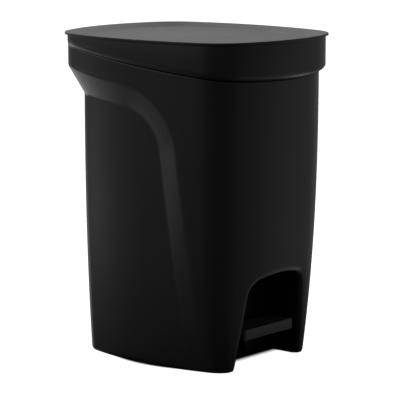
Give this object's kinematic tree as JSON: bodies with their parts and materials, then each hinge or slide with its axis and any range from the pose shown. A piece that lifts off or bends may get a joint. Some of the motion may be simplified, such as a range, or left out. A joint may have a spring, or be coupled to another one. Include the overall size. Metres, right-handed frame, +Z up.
{
  "type": "pedal trash can",
  "caption": "Black plastic pedal bin: tapered casing with a collar, dished hinged lid, inner bucket, and a foot pedal in a front arch that lifts the lid through a push rod.",
  "frame": {"origin": "on the floor, under the middle of the lid", "axes": "+Z up, -Y to the front where the pedal is, +X to the bin's left seen from inside it"},
  "size_m": [0.241, 0.289, 0.37],
  "materials": {
    "casing_plastic": "satin black injection-moulded plastic with a fine grain",
    "lid_plastic": "satin black moulded plastic, grained on top",
    "pedal_plastic": "dark grey-black moulded plastic, worn by shoes",
    "bucket_plastic": "matt black plastic",
    "frame_plastic": "matt dark grey plastic",
    "bearing_plastic": "off-white acetal",
    "steel": "zinc-plated steel",
    "screw_steel": "zinc-plated screw",
    "rubber": "soft black rubber"
  },
  "bodies": {
    "casing": {"outer_shell": "casing_plastic", "rim_collar": "casing_plastic", "lid_hinge_rod": "steel", "hinge_rod_caps": "bearing_plastic", "lid_buffers": "rubber", "inner_bucket": "bucket_plastic", "base_frame": "frame_plastic", "base_screws": "screw_steel", "pedal_housing": "casing_plastic", "pedal_axle": "steel", "axle_bushes": "bearing_plastic", "axle_clips": "steel", "rod_channel": "frame_plastic", "channel_screws": "screw_steel", "rubber_feet": "rubber"},
    "lid": {"lid": "lid_plastic", "lift_bracket": "frame_plastic", "lift_bracket_screws": "screw_steel", "lift_pin": "steel"},
    "pedal": {"pedal_arm": "steel", "pedal_tread": "pedal_plastic", "tread_screws": "screw_steel", "tail_pin": "steel"},
    "push_rod": {"push_rod": "frame_plastic"}
  },
  "joints": [
    {"name": "lid_hinge", "type": "hinge", "parent": "casing", "child": "lid", "pos_m": [0, 0.134, 0.3605], "axis": [-1, 0, 0], "range_deg": [0, 80]},
    {"name": "pedal_pivot", "type": "hinge", "parent": "casing", "child": "pedal", "pos_m": [0, -0.005, 0.027], "axis": [1, 0, 0], "range_deg": [0, 17.78]},
    {"name": "rod_slide", "type": "slide", "parent": "casing", "child": "push_rod", "axis": [0, 0, 1], "range_m": [0, 0.03472]}
  ],
  "couplings": [
    {"joint": "pedal_pivot", "follows": "lid_hinge", "ratio": 0.22216},
    {"joint": "rod_slide", "follows": "lid_hinge", "m_per_rad": 0.02486}
  ]
}
